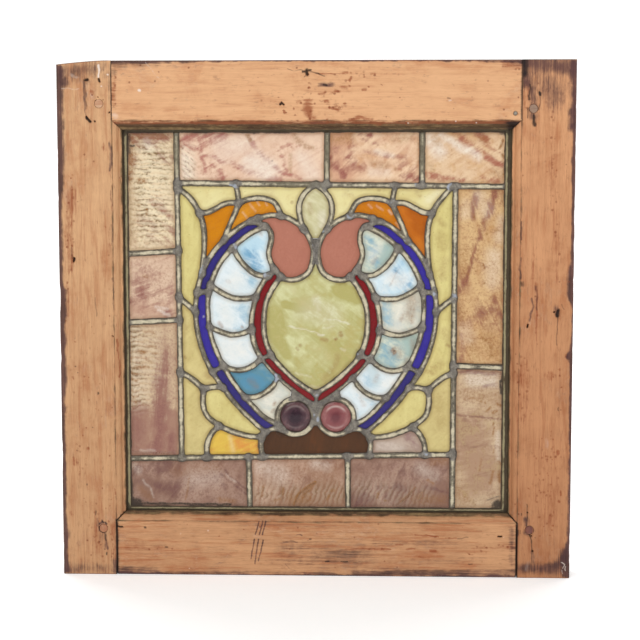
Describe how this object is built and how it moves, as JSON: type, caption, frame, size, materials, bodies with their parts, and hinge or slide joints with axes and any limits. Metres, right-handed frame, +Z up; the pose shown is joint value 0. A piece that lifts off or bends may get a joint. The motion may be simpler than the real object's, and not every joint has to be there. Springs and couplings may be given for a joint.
{
  "type": "stained glass window",
  "caption": "Square leaded light of streaky opalescent glass, with a heart and shell emblem in a pinwheel border, in a moulded softwood sash.",
  "frame": {"origin": "middle of the sash's flat underside, halfway through its thickness", "axes": "+X to the right seen from the front, +Y from the moulded front face towards the puttied back, +Z up"},
  "size_m": [0.508, 0.035, 0.5124],
  "materials": {
    "sash_wood": "stripped softwood, waxed thin, with dark old stain left in the grain, joints and arrises",
    "lead": "oxidised lead cames with a pale worn crown, grimy edges and grey solder joints",
    "putty": "old linseed putty, dry and chalky",
    "cream_opal_glass": "streaky opalescent glass, cream with rose streaks and ripple marks",
    "rose_opal_glass": "streaky opalescent glass, rose and tan",
    "mauve_opal_glass": "streaky opalescent glass, mauve and brown",
    "pale_yellow_glass": "pale yellow opalescent glass, softly mottled",
    "pale_green_glass": "pale green and yellow opalescent glass with scratches",
    "amber_yellow_glass": "streaky yellow and amber glass",
    "amber_glass": "streaky textured amber glass",
    "orange_glass": "amber to dark orange cathedral glass",
    "salmon_glass": "matte salmon pink opaque glass",
    "cobalt_glass": "cobalt blue cathedral glass",
    "white_opal_glass": "white opalescent glass with pale blue wisps and a few rust stains",
    "ruby_glass": "ruby red cathedral glass",
    "plum_glass": "pressed domed jewel in plum glass, polished",
    "brown_glass": "dark brown glass with faint darker marks"
  },
  "bodies": {
    "root": {"left_stile": "sash_wood", "right_stile": "sash_wood", "top_rail": "sash_wood", "bottom_rail": "sash_wood", "lead_matrix": "lead", "glazing_putty": "putty", "border_left_upper": "cream_opal_glass", "border_left_middle": "rose_opal_glass", "border_left_lower": "cream_opal_glass", "border_foot_left": "mauve_opal_glass", "border_foot_middle": "mauve_opal_glass", "border_foot_right": "mauve_opal_glass", "border_right_lower": "rose_opal_glass", "border_right_upper": "cream_opal_glass", "border_head_right": "cream_opal_glass", "border_head_middle": "rose_opal_glass", "border_head_left": "cream_opal_glass", "drop": "pale_yellow_glass", "heart": "pale_green_glass", "base": "brown_glass", "foot_left": "amber_yellow_glass", "foot_right": "mauve_opal_glass", "field_corner_left": "pale_yellow_glass", "field_corner_right": "pale_yellow_glass", "field_head_left": "pale_yellow_glass", "field_head_right": "pale_yellow_glass", "field_lens_left": "pale_yellow_glass", "field_lens_right": "pale_yellow_glass", "field_side_left": "pale_yellow_glass", "field_side_right": "pale_yellow_glass", "field_leaf_left": "pale_yellow_glass", "field_leaf_right": "pale_yellow_glass", "field_low_left": "pale_yellow_glass", "field_low_right": "pale_yellow_glass", "petal_left": "amber_glass", "petal_right": "amber_glass", "horn_left": "orange_glass", "horn_right": "orange_glass", "comma_left": "salmon_glass", "comma_right": "salmon_glass", "cobalt_band_left": "cobalt_glass", "cobalt_band_right": "cobalt_glass", "shell_1_left": "white_opal_glass", "shell_1_right": "white_opal_glass", "shell_2_left": "white_opal_glass", "shell_2_right": "white_opal_glass", "shell_3_left": "white_opal_glass", "shell_3_right": "white_opal_glass", "shell_4_left": "white_opal_glass", "shell_4_right": "white_opal_glass", "shell_5_left": "white_opal_glass", "shell_5_right": "white_opal_glass", "shell_6_left": "white_opal_glass", "shell_6_right": "white_opal_glass", "ruby_upper_left": "ruby_glass", "ruby_upper_right": "ruby_glass", "ruby_lower_left": "ruby_glass", "ruby_lower_right": "ruby_glass", "jewel_left": "plum_glass", "jewel_right": "plum_glass"}
  },
  "joints": []
}
